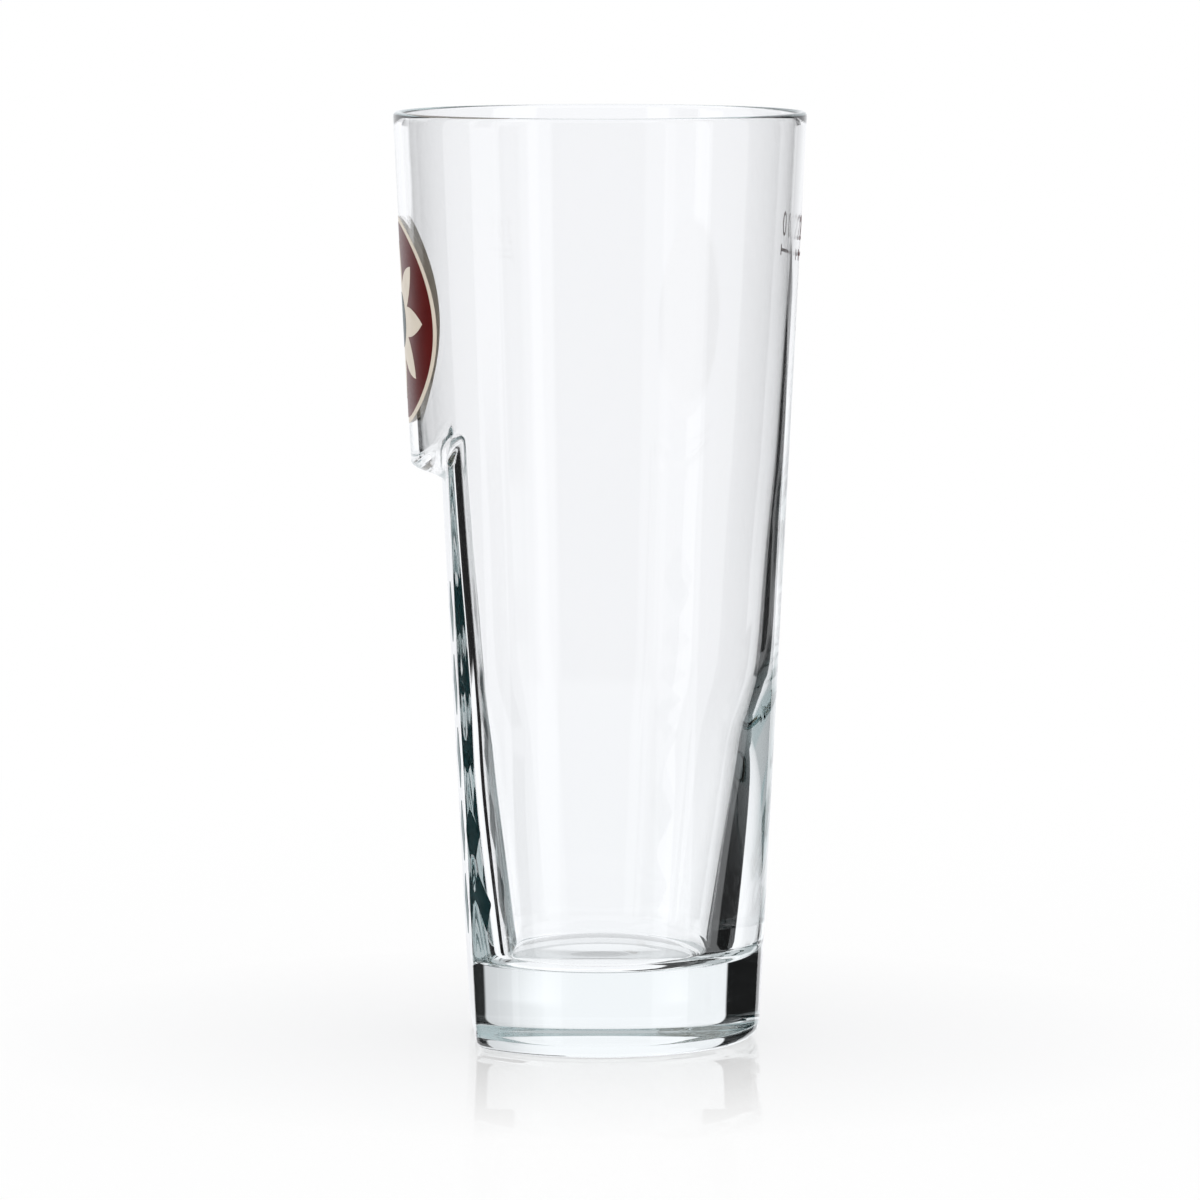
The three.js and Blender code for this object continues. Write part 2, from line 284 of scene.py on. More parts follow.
# the same inside the cavity
def innerPanel(y, z):
    t = tumbler
    fromBadge = math.hypot(y, t["badgeHeight"] - z)
    face = panelDistance(z) - panelWallAt(z)
    edge = t["ledgeRadius"] - t["ledgeWall"]
    field = coneRadius(z) + t["panelInset"] * (edge - fromBadge) / t["ledgeFall"]
    if z > t["badgeHeight"]:
        field = coneRadius(z) + t["panelClear"]
    return smoothMax(face, field, t["innerFilletSoft"]), t["innerSoft"]


# remembers which part of the form each ring belongs to
class ringKinds:
    def __init__(self):
        self.rings = {}

    def cell(self, radius, z):
        return round(radius * tumbler["ringGrid"]), round(z * tumbler["ringGrid"])

    def add(self, kind, radius, z):
        self.rings[self.cell(radius, z)] = (kind, radius, z)

    def nearest(self, radius, z):
        if radius < 0.01:
            return "pole"
        a, b = self.cell(radius, z)
        cells = [(a + i, b + j) for i in (-1, 0, 1) for j in (-1, 0, 1)]
        near = [self.rings[cell] for cell in cells if cell in self.rings]
        return min(near, key=lambda ring: math.hypot(ring[1] - radius, ring[2] - z))[0]


# the wall is pressed flat where the panel is, row by row of the turned form
def pressPanel(piece, kinds):
    mesh = bmesh.from_edit_mesh(piece.data)
    for vert in mesh.verts:
        x, y, z = (value / mm for value in vert.co)
        radius = math.hypot(x, y)
        kind = kinds.nearest(radius, z)
        if kind in ("pole", "rim") or x > 0 and kind in ("foot", "floor"):
            continue
        turn = math.degrees(math.atan2(abs(y), -x))
        if kind in ("outer", "inner") and z > tumbler["slideFrom"]:
            newZ = slideRow(z, y, turn)
            if newZ != z:
                grown = (coneRadius if kind == "outer" else cavityRadius)(newZ)
                x, y, z = x * grown / radius, y * grown / radius, newZ
        if x < 0:
            limit, soft = outerPanel(y, z) if kind in ("outer", "foot") else innerPanel(y, z)
            x = -smoothMin(-x, limit, soft)
        vert.co = Vector((x, y, z)) * mm
    bmesh.update_edit_mesh(piece.data)


def makeTumbler():
    standing, rows = turnedRows()
    clearAll()
    bpy.ops.mesh.primitive_circle_add(
        vertices=tumbler["columns"], radius=standing * mm, fill_type="NOTHING", location=(0, 0, 0))
    piece = bpy.context.object
    piece.name = "tumblerGlass"
    editVerts()
    bpy.ops.mesh.select_all(action="SELECT")
    kinds = ringKinds()
    kinds.add("foot", standing, 0.0)
    radius, z = standing, 0.0
    for kind, newRadius, newZ in rows:
        drawRing(newRadius, newZ, radius, z)
        radius, z = newRadius, newZ
        kinds.add(kind, radius, z)
    bpy.ops.mesh.merge(type="CENTER")
    pickVerts(piece, lambda co: abs(co.z) < 1e-7 and abs(co.xy.length - standing * mm) < 1e-6)
    radius, z = standing, 0.0
    for newRadius, newZ in undersideRows(standing):
        drawRing(newRadius, newZ, radius, z)
        radius, z = newRadius, newZ
        kinds.add("foot", radius, z)
    bpy.ops.mesh.merge(type="CENTER")
    pressPanel(piece, kinds)
    bpy.ops.mesh.select_all(action="SELECT")
    bpy.ops.mesh.normals_make_consistent(inside=False)
    objectMode()
    bpy.ops.object.shade_smooth()
    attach(piece, "root")
    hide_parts("glass_body")
    print("glass body turned and pressed:", len(piece.data.polygons), "faces")
    return piece


tumblerGlass = makeTumbler()

# enamel prints, fired onto the glass
enamel = {
    "thickness": 0.07,
    "sink": 0.03,  # of the lowest layer into the glass
    "layerStep": 0.03,
    "smoothAngle": 40,
}


# lays a flat patch onto the glass along x and gives it its thickness
def fireOnto(piece, layer, towardsPanel):
    applyPlace(piece)
    wrap = piece.modifiers.new("lay on glass", "SHRINKWRAP")
    wrap.target = tumblerGlass
    wrap.wrap_method = "PROJECT"
    wrap.use_project_x = True
    wrap.use_positive_direction = towardsPanel
    wrap.use_negative_direction = not towardsPanel
    applyModifiers(piece)
    editVerts()
    bpy.ops.mesh.select_all(action="SELECT")
    out = -1 if towardsPanel else 1
    lift = (layer * enamel["layerStep"] - enamel["sink"]) * mm
    bpy.ops.transform.translate(value=(out * lift, 0, 0))
    thick = (out * enamel["thickness"] * mm, 0, 0)
    bpy.ops.mesh.extrude_region_move(TRANSFORM_OT_translate={"value": thick})
    bpy.ops.mesh.select_all(action="SELECT")
    bpy.ops.mesh.normals_make_consistent(inside=False)
    objectMode()
    bpy.ops.object.shade_smooth_by_angle(angle=math.radians(enamel["smoothAngle"]))


def finishPrint(piece, node):
    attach(piece, "root")
    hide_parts(node)


# fills an outline with rings towards its middle
def fillRings(count, centre):
    for step in range(count - 1):
        shrink = (count - 1 - step) / (count - step)
        bpy.ops.mesh.extrude_region_move()
        bpy.ops.transform.resize(value=(shrink, shrink, shrink), center_override=centre)
    bpy.ops.mesh.extrude_region_move()
    bpy.ops.mesh.merge(type="CENTER")


badge = {
    "height": tumbler["badgeHeight"],
    "stand": -45.0,  # where a patch is drawn before it is laid on the glass
    "radius": 15.75,
    "fieldRadius": 14.9,
    "discVerts": 120,
    "discRings": 14,
    "rosetteTip": 12.0,
    "rosetteWaist": 6.0,
    "rosetteRings": 9,
    "petals": 8,
    "petalSteps": 8,  # from a tip to a waist
    "petalCurve": 1.05,
    "centreRadius": 4.2,
    "centreRings": 6,
}


def drawRound(name, radius, verts):
    clearAll()
    place = (badge["stand"] * mm, 0, badge["height"] * mm)
    bpy.ops.mesh.primitive_circle_add(
        vertices=verts, radius=radius * mm, fill_type="NOTHING",
        location=place, rotation=(0, math.radians(90), 0))
    piece = bpy.context.object
    piece.name = name
    applyPlace(piece)
    editVerts()
    bpy.ops.mesh.select_all(action="SELECT")
    return piece, place


def makeDisc(name, node, radius, layer, rings):
    piece, place = drawRound(name, radius, badge["discVerts"])
    fillRings(rings, place)
    objectMode()
    fireOnto(piece, layer, True)
    finishPrint(piece, node)
    return piece


def makeRosette():
    b = badge
    tip, waist, steps = b["rosetteTip"], b["rosetteWaist"], b["petalSteps"]
    piece, place = drawRound("badgeRosette", tip, b["petals"] * 2 * steps)
    half = math.pi / b["petals"]
    for step in range(1, steps + 1):  # pulls the outline in between the petals
        def between(co):
            turn = math.atan2(co.y, co.z - place[2]) % (2 * half)
            return abs(min(turn, 2 * half - turn) - half * step / steps) < half / steps / 5
        pickVerts(piece, between)
        pull = (tip - (tip - waist) * (step / steps) ** b["petalCurve"]) / tip
        bpy.ops.transform.resize(value=(pull, pull, pull), center_override=place)
    bpy.ops.mesh.select_all(action="SELECT")
    fillRings(b["rosetteRings"], place)
    objectMode()
    fireOnto(piece, 2, True)
    finishPrint(piece, "badge_rosette")
    return piece


badgeGround = makeDisc("badgeGround", "badge_ground", badge["radius"], 0, badge["discRings"])
badgeField = makeDisc(
    "badgeField", "badge_field", badge["fieldRadius"], 1, badge["discRings"])
badgeRosette = makeRosette()
badgeCentre = makeDisc(
    "badgeCentre", "badge_centre", badge["centreRadius"], 3, badge["centreRings"])
print("badge printed")

lozenges = {
    "count": 5,
    "width": 14.0,
    "gap": 1.5,
    "foot": 15.0,
    "top": 71.3,
    "corner": 0.7,
    "cornerSegments": 4,
}


def makeLozenge(index):
    p = lozenges
    pitch = (p["top"] - p["foot"]) / p["count"]
    height = p["top"] - pitch * (index + 0.5)
    clearAll()
    place = (badge["stand"] * mm, 0, height * mm)
    bpy.ops.mesh.primitive_circle_add(
        vertices=4, radius=0.5 * mm, fill_type="NGON", location=place, rotation=(0, math.radians(90), 0))
    piece = bpy.context.object
    piece.name = "panelLozenge%d" % (index + 1)
    applyPlace(piece)
    editVerts()
    bpy.ops.mesh.select_all(action="SELECT")
    bpy.ops.transform.resize(value=(1, p["width"], pitch - p["gap"]), center_override=place)
    bpy.ops.mesh.bevel(offset=p["corner"] * mm, segments=p["cornerSegments"], affect="VERTICES")
    objectMode()
    fireOnto(piece, 0, True)
    finishPrint(piece, "panel_lozenge_%d" % (index + 1))
    return piece


panelLozenges = [makeLozenge(index) for index in range(lozenges["count"])]
print("panel printed:", len(panelLozenges), "lozenges")

fillMark = {
    "azimuth": 0.0,
    "lineHeight": 120.4,
    "lineLength": 12.5,
    "lineCells": 25,
    "stroke": 0.5,
    "tick": 1.7,
    "figures": "200",
    "figureHeight": 3.8,
    "figureShare": 0.7,  # of the font's size that a figure is tall
    "figureStep": 3.1,
    "figureLift": 2.2,
    "stand": 45.0,  # where the mark is drawn before it is laid on the glass
}


def makeFillLine():
    f = fillMark
    turn = math.radians(f["azimuth"])
    clearAll()
    bpy.ops.mesh.primitive_grid_add(
        x_subdivisions=f["lineCells"], y_subdivisions=3, size=1, rotation=(math.pi / 2, 0, math.pi / 2))
    piece = bpy.context.object
    piece.name = "fillLine"
    applyPlace(piece)
    editVerts()
    bpy.ops.mesh.select_all(action="SELECT")
    bpy.ops.transform.resize(value=(1, f["lineLength"] * mm, f["tick"] * mm), center_override=(0, 0, 0))
    pickVerts(piece, lambda co: abs(co.z) < f["tick"] * mm / 4)
    bpy.ops.transform.resize(value=(1, 1, 3 * f["stroke"] / f["tick"]), center_override=(0, 0, 0))
    end = (0.5 - 1 / f["lineCells"]) * f["lineLength"] * mm
    pickFaces(piece, lambda co: abs(co.z) > f["stroke"] * mm / 2 and abs(co.y) < end)
    bpy.ops.mesh.delete(type="FACE")
    objectMode()
    piece.rotation_euler = (0, 0, turn)
    out = f["stand"] * mm
    piece.location = (out * math.cos(turn), out * math.sin(turn), f["lineHeight"] * mm)
    fireOnto(piece, 0, False)
    finishPrint(piece, "fill_line")
    return piece


def makeFigure(index):
    f = fillMark
    middle = f["lineHeight"] + f["figureLift"] + f["figureHeight"] / 2
    turn = math.radians(f["azimuth"]) + f["figureStep"] * (index - 1) / coneRadius(middle)
    clearAll()
    bpy.ops.object.text_add(rotation=(math.pi / 2, 0, math.pi / 2 + turn))
    letter = bpy.context.object
    letter.data.body = f["figures"][index]
    letter.data.align_x = "CENTER"
    letter.data.size = f["figureHeight"] * mm / f["figureShare"]
    out = f["stand"] * mm
    foot = (f["lineHeight"] + f["figureLift"]) * mm
    letter.location = (out * math.cos(turn), out * math.sin(turn), foot)
    bpy.ops.object.convert(target="MESH")
    piece = bpy.context.object
    piece.name = "fillFigure%d" % (index + 1)
    editVerts()
    bpy.ops.mesh.select_all(action="SELECT")
    bpy.ops.mesh.remove_doubles(threshold=1e-6)
    objectMode()
    fireOnto(piece, 0, False)
    finishPrint(piece, "fill_numeral_%d" % (index + 1))
    return piece


fillLine = makeFillLine()
fillFigures = [makeFigure(index) for index in range(len(fillMark["figures"]))]
print("fill mark printed")


# materials
def newMaterial(name):
    material = bpy.data.materials.new(name)
    material.use_nodes = True
    nodes = material.node_tree.nodes
    nodes.clear()
    return material, nodes, material.node_tree.links


glassFinish = {
    "ior": 1.52,
    "tint": (0.74, 0.885, 0.895, 1),
    "tintDensity": 5.0,
    "waveScale": 55.0,
    "waveHeight": 0.012,
}


def makeGlassFinish():
    g = glassFinish
    material, nodes, links = newMaterial("clearGlass")
    output = nodes.new("ShaderNodeOutputMaterial")
    shader = nodes.new("ShaderNodeBsdfPrincipled")
    shader.inputs["Base Color"].default_value = (1, 1, 1, 1)
    shader.inputs["Metallic"].default_value = 0
    shader.inputs["IOR"].default_value = g["ior"]
    shader.inputs["Transmission Weight"].default_value = 1
    shader.inputs["Roughness"].default_value = 0
    place = nodes.new("ShaderNodeTexCoord")
    wave = nodes.new("ShaderNodeTexNoise")
    wave.inputs["Scale"].default_value = g["waveScale"]
    wave.inputs["Detail"].default_value = 1
    bump = nodes.new("ShaderNodeBump")
    bump.inputs["Strength"].default_value = 1
    bump.inputs["Distance"].default_value = g["waveHeight"] * mm
    links.new(place.outputs["Object"], wave.inputs["Vector"])
    links.new(wave.outputs["Fac"], bump.inputs["Height"])
    links.new(bump.outputs["Normal"], shader.inputs["Normal"])
    absorb = nodes.new("ShaderNodeVolumeAbsorption")
    absorb.inputs["Color"].default_value = g["tint"]
    absorb.inputs["Density"].default_value = g["tintDensity"]
    links.new(shader.outputs["BSDF"], output.inputs["Surface"])
    links.new(absorb.outputs["Volume"], output.inputs["Volume"])
    return material


enamelFinish = {
    "cloudScale": 420,
    "cloudDetail": 4,
    "peelScale": 2600,
    "peelDetail": 2,
    "peelRoughness": 0.16,
    "peelStrength": 0.25,
    "peelHeight": 0.02,
    "specular": 0.2,
}

# each enamel's darker and lighter colour, and its roughness
enamelColours = {
    "creamEnamel": ((0.60, 0.53, 0.43), (0.74, 0.67, 0.57), 0.26),
    "oxbloodEnamel": ((0.07, 0.002, 0.0015), (0.11, 0.005, 0.004), 0.24),
    "tealEnamel": ((0.002, 0.024, 0.03), (0.005, 0.045, 0.054), 0.24),
    "panelEnamel": ((0.012, 0.065, 0.072), (0.026, 0.11, 0.12), 0.24),
    "russetEnamel": ((0.06, 0.012, 0.01), (0.11, 0.025, 0.022), 0.34),
}


# fired print: slight clouds in the colour, and a fine orange peel
def makeFiredPrint():
    e = enamelFinish
    group = bpy.data.node_groups.new("firedPrint", "ShaderNodeTree")
    face = group.interface
    for name in ("Cloud Scale", "Peel Scale", "Roughness"):
        face.new_socket(name, in_out="INPUT", socket_type="NodeSocketFloat")
    for name in ("Dark", "Light"):
        face.new_socket(name, in_out="INPUT", socket_type="NodeSocketColor")
    face.new_socket("Color", in_out="OUTPUT", socket_type="NodeSocketColor")
    face.new_socket("Roughness", in_out="OUTPUT", socket_type="NodeSocketFloat")
    face.new_socket("Peel", in_out="OUTPUT", socket_type="NodeSocketFloat")
    nodes, links = group.nodes, group.links
    given = nodes.new("NodeGroupInput")
    result = nodes.new("NodeGroupOutput")
    place = nodes.new("ShaderNodeTexCoord")
    cloud = nodes.new("ShaderNodeTexNoise")
    cloud.inputs["Detail"].default_value = e["cloudDetail"]
    peel = nodes.new("ShaderNodeTexNoise")
    peel.inputs["Detail"].default_value = e["peelDetail"]
    mix = nodes.new("ShaderNodeMix")
    mix.data_type = "RGBA"
    rough = nodes.new("ShaderNodeMath")
    rough.operation = "MULTIPLY_ADD"
    rough.inputs[1].default_value = e["peelRoughness"]
    links.new(place.outputs["Object"], cloud.inputs["Vector"])
    links.new(place.outputs["Object"], peel.inputs["Vector"])
    links.new(given.outputs["Cloud Scale"], cloud.inputs["Scale"])
    links.new(given.outputs["Peel Scale"], peel.inputs["Scale"])
    links.new(cloud.outputs["Fac"], mix.inputs["Factor"])
    links.new(given.outputs["Dark"], mix.inputs["A"])
    links.new(given.outputs["Light"], mix.inputs["B"])
    links.new(peel.outputs["Fac"], rough.inputs[0])
    links.new(given.outputs["Roughness"], rough.inputs[2])
    links.new(mix.outputs["Result"], result.inputs["Color"])
    links.new(rough.outputs["Value"], result.inputs["Roughness"])
    links.new(peel.outputs["Fac"], result.inputs["Peel"])
    return group


firedPrint = makeFiredPrint()


def makeEnamelFinish(name, dark, light, roughness):
    e = enamelFinish
    material, nodes, links = newMaterial(name)
    output = nodes.new("ShaderNodeOutputMaterial")
    shader = nodes.new("ShaderNodeBsdfPrincipled")
    printed = nodes.new("ShaderNodeGroup")
    printed.node_tree = firedPrint
    printed.inputs["Cloud Scale"].default_value = e["cloudScale"]
    printed.inputs["Peel Scale"].default_value = e["peelScale"]
    printed.inputs["Roughness"].default_value = roughness
    printed.inputs["Dark"].default_value = (*dark, 1)
    printed.inputs["Light"].default_value = (*light, 1)
    shader.inputs["Specular IOR Level"].default_value = e["specular"]
    bump = nodes.new("ShaderNodeBump")
    bump.inputs["Strength"].default_value = e["peelStrength"]
    bump.inputs["Distance"].default_value = e["peelHeight"] * mm
    links.new(printed.outputs["Color"], shader.inputs["Base Color"])
    links.new(printed.outputs["Roughness"], shader.inputs["Roughness"])
    links.new(printed.outputs["Peel"], bump.inputs["Height"])
    links.new(bump.outputs["Normal"], shader.inputs["Normal"])
    links.new(shader.outputs["BSDF"], output.inputs["Surface"])
    return material


clearGlass = makeGlassFinish()
enamels = {name: makeEnamelFinish(name, *values) for name, values in enamelColours.items()}


def paint(piece, material):
    piece.data.materials.clear()
    piece.data.materials.append(material)


paint(tumblerGlass, clearGlass)
for piece in (badgeGround, badgeRosette):
    paint(piece, enamels["creamEnamel"])
paint(badgeField, enamels["oxbloodEnamel"])
paint(badgeCentre, enamels["tealEnamel"])
for piece in panelLozenges:
    paint(piece, enamels["panelEnamel"])
for piece in [fillLine] + fillFigures:
    paint(piece, enamels["russetEnamel"])
print("finishes set")

rangeNames = ("From Min", "From Max", "To Min", "To Max")  # of a Map Range node

# white floor, in metres
studioFloor = {
    "verts": 96,
    "radius": 0.6,
    "drop": 0.00005,  # under the foot
    "color": (1, 1, 1, 1),
    "fade": (0.16, 0.34),  # into plain white, outwards
    "shine": (0.02, 0.095, 0.95, 0.03),  # from near the glass to further out, and its share there
    "ior": 1.42,
    "shineMost": 0.38,  # at a grazing view
    "roughness": 0.012,
    "glow": 0.8,  # share that is lit from below
}


def makeFloor():
    f = studioFloor
    clearAll()
    bpy.ops.mesh.primitive_circle_add(
        vertices=f["verts"], radius=f["radius"], fill_type="NGON", location=(0, 0, -f["drop"]))
    floor = bpy.context.object
    floor.name = "studioFloor"
    applyPlace(floor)
    floor.visible_transmission = False
    floor.visible_glossy = False
    material, nodes, links = newMaterial("paleFloor")
    output = nodes.new("ShaderNodeOutputMaterial")
    matt = nodes.new("ShaderNodeBsdfDiffuse")
    matt.inputs["Color"].default_value = f["color"]
    gloss = nodes.new("ShaderNodeBsdfGlossy")
    gloss.inputs["Roughness"].default_value = f["roughness"]
    sheen = nodes.new("ShaderNodeMixShader")
    grazing = nodes.new("ShaderNodeFresnel")
    grazing.inputs["IOR"].default_value = f["ior"]
    most = nodes.new("ShaderNodeMath")
    most.operation = "MINIMUM"
    most.inputs[1].default_value = f["shineMost"]
    near = nodes.new("ShaderNodeMapRange")
    for name, value in zip(rangeNames, f["shine"]):
        near.inputs[name].default_value = value
    shine = nodes.new("ShaderNodeMath")
    shine.operation = "MULTIPLY"
    white = nodes.new("ShaderNodeEmission")
    lit = nodes.new("ShaderNodeMixShader")
    lit.inputs["Fac"].default_value = f["glow"]
    place = nodes.new("ShaderNodeTexCoord")
    length = nodes.new("ShaderNodeVectorMath")
    length.operation = "LENGTH"
    fade = nodes.new("ShaderNodeMapRange")
    fade.interpolation_type = "SMOOTHSTEP"
    fade.inputs["From Min"].default_value = f["fade"][0]
    fade.inputs["From Max"].default_value = f["fade"][1]
    blend = nodes.new("ShaderNodeMixShader")
    links.new(matt.outputs["BSDF"], lit.inputs[1])
    links.new(white.outputs["Emission"], lit.inputs[2])
    links.new(lit.outputs["Shader"], sheen.inputs[1])
    links.new(gloss.outputs["BSDF"], sheen.inputs[2])
    links.new(place.outputs["Object"], length.inputs[0])
    links.new(length.outputs["Value"], fade.inputs["Value"])
    links.new(length.outputs["Value"], near.inputs["Value"])
    links.new(near.outputs["Result"], shine.inputs[0])
    links.new(grazing.outputs["Fac"], most.inputs[0])
    links.new(most.outputs["Value"], shine.inputs[1])
    links.new(shine.outputs["Value"], sheen.inputs["Fac"])
    links.new(fade.outputs["Result"], blend.inputs["Fac"])
    links.new(sheen.outputs["Shader"], blend.inputs[1])
    links.new(white.outputs["Emission"], blend.inputs[2])
    links.new(blend.outputs["Shader"], output.inputs["Surface"])
    floor.data.materials.append(material)


makeFloor()
print("floor set")

# the light, as directions: azimuths from +Y to the right and elevations, in degrees
studio = {
    "plainLevel": 1.0,  # on matt surfaces
    "glassTone": (0.982, 0.99, 1.012, 1),  # of the light through the glass
    # white sheet behind the glass
    "sheetLevel": 1.02,
    "horizon": -5.4,  # above it the sheet is wider
    "horizonSoft": 0.4,
    "sheetGrowth": 11.5,
    "lowGrowth": [(-19, -16, 4), (-31, -29, -17)],  # the same below these steps
    "throughGrowth": (-19, -16, 13),  # and for light through both walls, which leaves further back
    "throughDepth": (4.2, 4.8),  # a ray's depth counts its bounces and itself
    "mirrorGrowth": 6,  # and for what the glass only reflects
    "sheetFade": (18, 28, 0.15),  # its lower part dims towards its edges
    "fadeEnd": (28, 34),
    "fadeFoot": (-20, -15),
    "sheetLift": (8, 20, 0.11),  # its lower part is brighter away from its middle
    "upperFade": (14, 36, 0.3),  # its upper part dims towards the right flag
    "sheetSides": (40, 60),  # where both end
    # room behind the camera, as glass reflects it
    "frontLevel": 0.35,
    "frontEdge": (-0.65, -0.42),  # as the direction's y
    "frontFoot": (-26, -20, 0.9),
    "frontHead": (14, 24, 1),
    "ceiling": (75, 27, 0.2),  # dark patch overhead: its elevation in front, its half width and level
    "ceilingSoft": 0.04,  # in radians
    "boxes": [(119, 148), (-152, -133)],  # soft boxes in front
    "boxLevel": 0.95,
    "boxSoft": 4,
    "boxFoot": (-35, -30),
    "boxHead": (40, 45),
    # black flags: inner and outer edge, lowest and highest elevation
    "flags": [(25, 118, -50, 24), (-25, -76, -13, 30), (-116, -131, -13, 12), (-57, -76, -38, -13),
              (-99, -112, -38, -13)],
    "flagLevel": 0.01,
    "flagSoft": 1.5,
    "flagEnds": 3,
    "sheetFlags": 30,  # those that start nearer to the middle keep to the sheet's edges
    "mirrorReach": 24,  # of the left one in what the glass only reflects
    # paler floor under the right flag, below a sloping line
    "slit": (40, -29.5, 0.13),
    "slitSlope": 1 / 3,
    "slitSoft": 0.5,
    "slitSide": (72, 76),
    "slitFoot": (-35, -33),
    # low light from the middle that the wall throws back once more is mostly lost
    "strayLoss": 0.85,
    "strayDepth": (5.2, 5.8, 7.2, 7.8),
    "strayHead": (-14, -11),
    "straySides": (18, 26),
    "evenLight": (6, 9, 0.6),  # after so many turns inside the wall, light comes out even
}


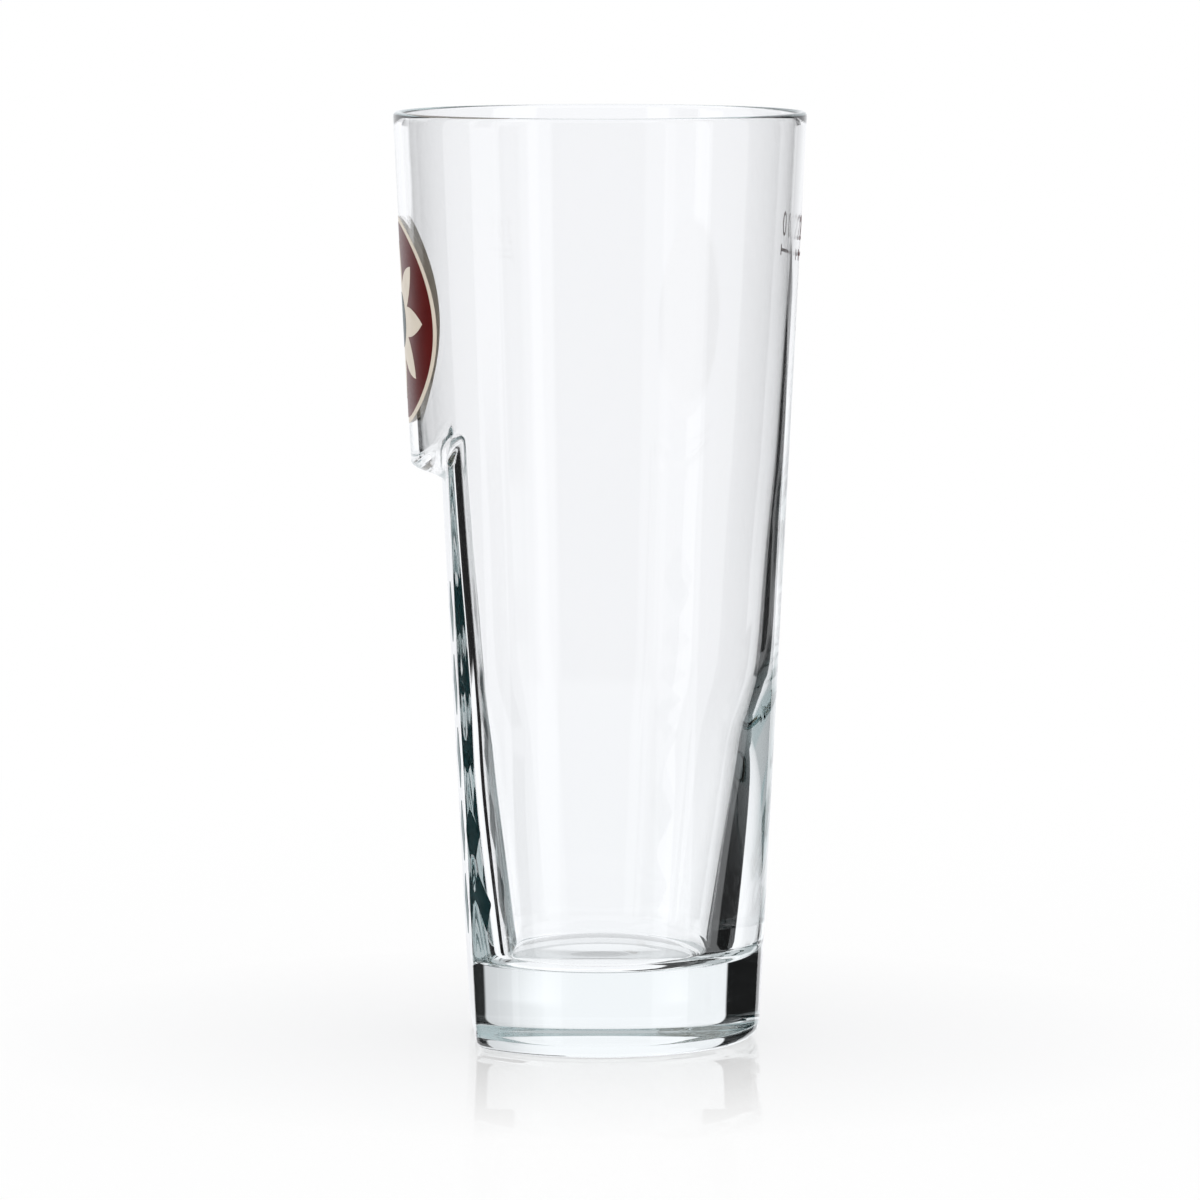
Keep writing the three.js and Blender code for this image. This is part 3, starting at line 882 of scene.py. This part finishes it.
# white round the glass, with black flags to its sides that draw its edges
def makeStudioLight():
    s = studio
    world = bpy.data.worlds.new("studio")
    scene.world = world
    world.use_nodes = True
    nodes, links = world.node_tree.nodes, world.node_tree.links
    nodes.clear()
    output = nodes.new("ShaderNodeOutputWorld")
    light = nodes.new("ShaderNodeBackground")
    place = nodes.new("ShaderNodeTexCoord")
    parts = nodes.new("ShaderNodeSeparateXYZ")
    links.new(place.outputs["Generated"], parts.inputs["Vector"])

    def calc(operation, first, second=None):
        node = nodes.new("ShaderNodeMath")
        node.operation = operation
        for slot, value in enumerate((first, second)):
            if value is None:
                continue
            if isinstance(value, (int, float)):
                node.inputs[slot].default_value = value
            else:
                links.new(value, node.inputs[slot])
        return node.outputs["Value"]

    def ramp(value, low, high, start, end):
        node = nodes.new("ShaderNodeMapRange")
        node.interpolation_type = "SMOOTHSTEP"
        for name, number in zip(rangeNames, (low, high, start, end)):
            node.inputs[name].default_value = number
        links.new(value, node.inputs["Value"])
        return node.outputs["Result"]

    def product(first, *others):
        for other in others:
            first = calc("MULTIPLY", first, other)
        return first

    def rest(value):
        return calc("SUBTRACT", 1, value)

    def blend(factor, first, second):
        node = nodes.new("ShaderNodeMix")
        links.new(factor, node.inputs["Factor"])
        for name, value in (("A", first), ("B", second)):
            if isinstance(value, (int, float)):
                node.inputs[name].default_value = value
            else:
                links.new(value, node.inputs[name])
        return node.outputs["Result"]

    x, y, z = (parts.outputs[axis] for axis in "XYZ")
    turn = calc("MULTIPLY", calc("ARCTAN2", x, y), 180 / math.pi)
    rise = calc("MULTIPLY", calc("ARCSINE", z), 180 / math.pi)
    away = calc("ABSOLUTE", turn)
    rays = nodes.new("ShaderNodeLightPath")
    depth = rays.outputs["Ray Depth"]
    mirrored = rest(rays.outputs["Is Transmission Ray"])
    above = ramp(rise, s["horizon"] - s["horizonSoft"], s["horizon"] + s["horizonSoft"], 0, 1)

    # how far the sheet reaches past the inner edges of its flags
    growth = product(above, s["sheetGrowth"])
    for low, high, step in s["lowGrowth"]:
        growth = calc("ADD", growth, ramp(rise, low, high, step, 0))
    low, high, step = s["throughGrowth"]
    through = product(ramp(depth, *s["throughDepth"], 0, 1), ramp(rise, low, high, step, 0))
    growth = calc("ADD", growth, through)
    growth = calc("ADD", growth, product(mirrored, s["mirrorGrowth"]))

    flags = None
    for inner, outer, lowest, highest in s["flags"]:
        side = 1 if outer > inner else -1
        past = product(calc("SUBTRACT", turn, inner), side)
        short = product(calc("SUBTRACT", outer, turn), side)
        if abs(inner) < s["sheetFlags"]:
            past = calc("SUBTRACT", past, growth)
            if side < 0:
                short = calc("ADD", short, product(mirrored, s["mirrorReach"]))
        flag = product(ramp(past, 0, s["flagSoft"], 0, 1), ramp(short, 0, s["flagSoft"], 0, 1),
                       ramp(rise, lowest - s["flagEnds"], lowest, 0, 1),
                       ramp(rise, highest, highest + s["flagEnds"], 1, 0))
        flags = flag if flags is None else calc("MAXIMUM", flags, flag)

    # sheet
    sides = ramp(away, *s["sheetSides"], 1, 0)
    near, far, change = s["sheetFade"]
    fade = product(ramp(away, near, far, 0, change), ramp(away, *s["fadeEnd"], 1, 0),
                   rest(above), ramp(rise, *s["fadeFoot"], 0, 1))
    back = calc("SUBTRACT", ramp(y, *s["frontEdge"], 0, s["sheetLevel"]), fade)
    near, far, change = s["sheetLift"]
    back = calc("ADD", back, product(ramp(away, near, far, 0, change), sides, rest(above)))
    near, far, change = s["upperFade"]
    back = calc("SUBTRACT", back, product(ramp(turn, near, far, 0, change), sides, above))

    # room in front, ceiling and soft boxes
    low, high, level = s["frontFoot"]
    foot = ramp(rise, low, high, level, s["frontLevel"])
    low, high, level = s["frontHead"]
    head = ramp(rise, low, high, s["frontLevel"], level)
    front = product(calc("MAXIMUM", foot, head), ramp(y, *s["frontEdge"], 1, 0))
    towards, width = (math.radians(angle) for angle in s["ceiling"][:2])
    overhead = calc("SUBTRACT", product(z, math.sin(towards)), product(y, math.cos(towards)))
    patch = ramp(overhead, math.cos(width + s["ceilingSoft"]), math.cos(width - s["ceilingSoft"]), 0, 1)
    room = product(calc("ADD", front, back), rest(patch))
    room = calc("ADD", room, product(patch, s["ceiling"][2]))
    for left, right in s["boxes"]:
        box = product(ramp(turn, left, left + s["boxSoft"], 0, 1),
                      ramp(turn, right - s["boxSoft"], right, 1, 0),
                      ramp(rise, *s["boxFoot"], 0, 1), ramp(rise, *s["boxHead"], 1, 0))
        room = calc("MAXIMUM", room, product(box, s["boxLevel"]))
    once, twice, more, most = s["strayDepth"]
    stray = product(ramp(depth, once, twice, 0, s["strayLoss"]), ramp(depth, more, most, 1, 0),
                    ramp(rise, *s["strayHead"], 1, 0), ramp(away, *s["straySides"], 1, 0))
    room = product(room, rest(stray))

    # flags with the slit under them
    begin, line, level = s["slit"]
    under = calc("SUBTRACT", rise, product(calc("SUBTRACT", turn, begin), s["slitSlope"]))
    slit = product(ramp(under, line - s["slitSoft"], line + s["slitSoft"], level, 0),
                   ramp(turn, *s["slitSide"], 1, 0), ramp(rise, *s["slitFoot"], 0, 1))
    shaded = blend(flags, room, calc("ADD", slit, s["flagLevel"]))
    few, many, level = s["evenLight"]
    shaded = blend(ramp(depth, few, many, 0, 1), shaded, level)

    # only glass and gloss see the studio, the camera sees white
    throughGlass = calc("MAXIMUM", rays.outputs["Is Transmission Ray"], rays.outputs["Is Glossy Ray"])
    strength = blend(throughGlass, s["plainLevel"], shaded)
    strength = blend(rays.outputs["Is Camera Ray"], strength, 1)
    links.new(strength, light.inputs["Strength"])
    tone = nodes.new("ShaderNodeMix")
    tone.data_type = "RGBA"
    tone.inputs["A"].default_value = (1, 1, 1, 1)
    tone.inputs["B"].default_value = s["glassTone"]
    links.new(throughGlass, tone.inputs["Factor"])
    links.new(tone.outputs["Result"], light.inputs["Color"])
    links.new(light.outputs["Background"], output.inputs["Surface"])


makeStudioLight()
print("studio set")

# camera, as the photograph was taken, in millimetres and degrees
view = {
    "distance": 1167.0,  # from the axis
    "azimuth": -3.0,
    "height": 184.8,
    "pitch": 5.75,
    "lens": 229.9,
    "sensor": 36,
    "clip": (50, 20000),
}


def makeCamera():
    v = view
    data = bpy.data.cameras.new("photoCamera")
    data.lens = v["lens"]
    data.sensor_width = v["sensor"]
    data.clip_start, data.clip_end = (distance * mm for distance in v["clip"])
    camera = bpy.data.objects.new("photoCamera", data)
    scene.collection.objects.link(camera)
    turn = math.radians(v["azimuth"])
    out = v["distance"] * mm
    camera.location = (out * math.sin(turn), -out * math.cos(turn), v["height"] * mm)
    camera.rotation_euler = (math.radians(90 - v["pitch"]), 0, turn)
    scene.camera = camera


makeCamera()
print("camera set")
